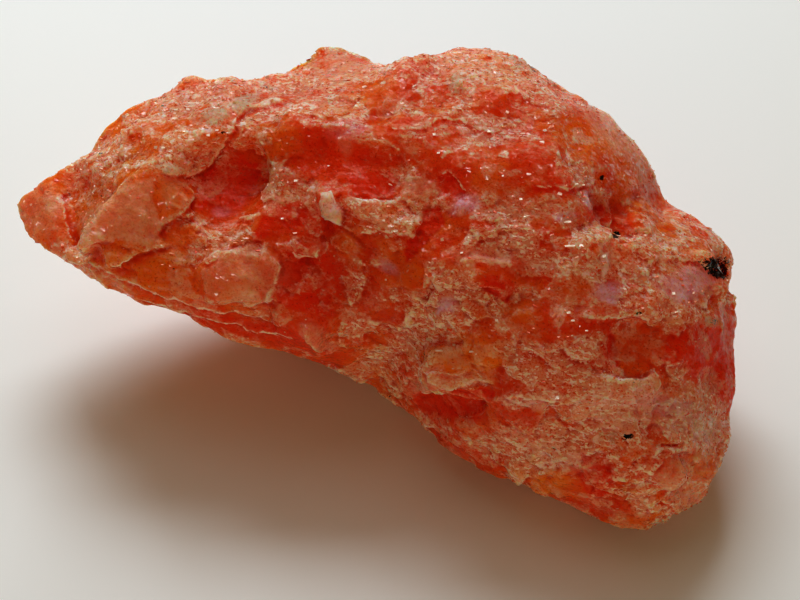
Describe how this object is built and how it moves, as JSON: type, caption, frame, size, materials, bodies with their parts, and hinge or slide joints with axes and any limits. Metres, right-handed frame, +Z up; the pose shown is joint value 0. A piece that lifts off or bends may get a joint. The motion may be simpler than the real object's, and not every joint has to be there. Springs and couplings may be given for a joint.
{
  "type": "sylvite specimen",
  "caption": "Rough orange-red sylvite lump with a blunt cleaved body and a thinner wing, resting on a flat underside; a display mineral or set-dressing stone.",
  "frame": {"origin": "under the middle of the bounding box, in the plane the stone rests on", "axes": "+X along the stone's length from the thin wing's nose to the blunt end, +Y from the broad leaning face to the back, +Z up"},
  "size_m": [0.0864, 0.0432, 0.0355],
  "materials": {
    "sylvite": "greasy to glassy on fresh cleavage, frosted and granular where broken; cloudy, letting red light through at thin edges"
  },
  "bodies": {
    "root": {"sylvite_stone": "sylvite"}
  },
  "joints": []
}
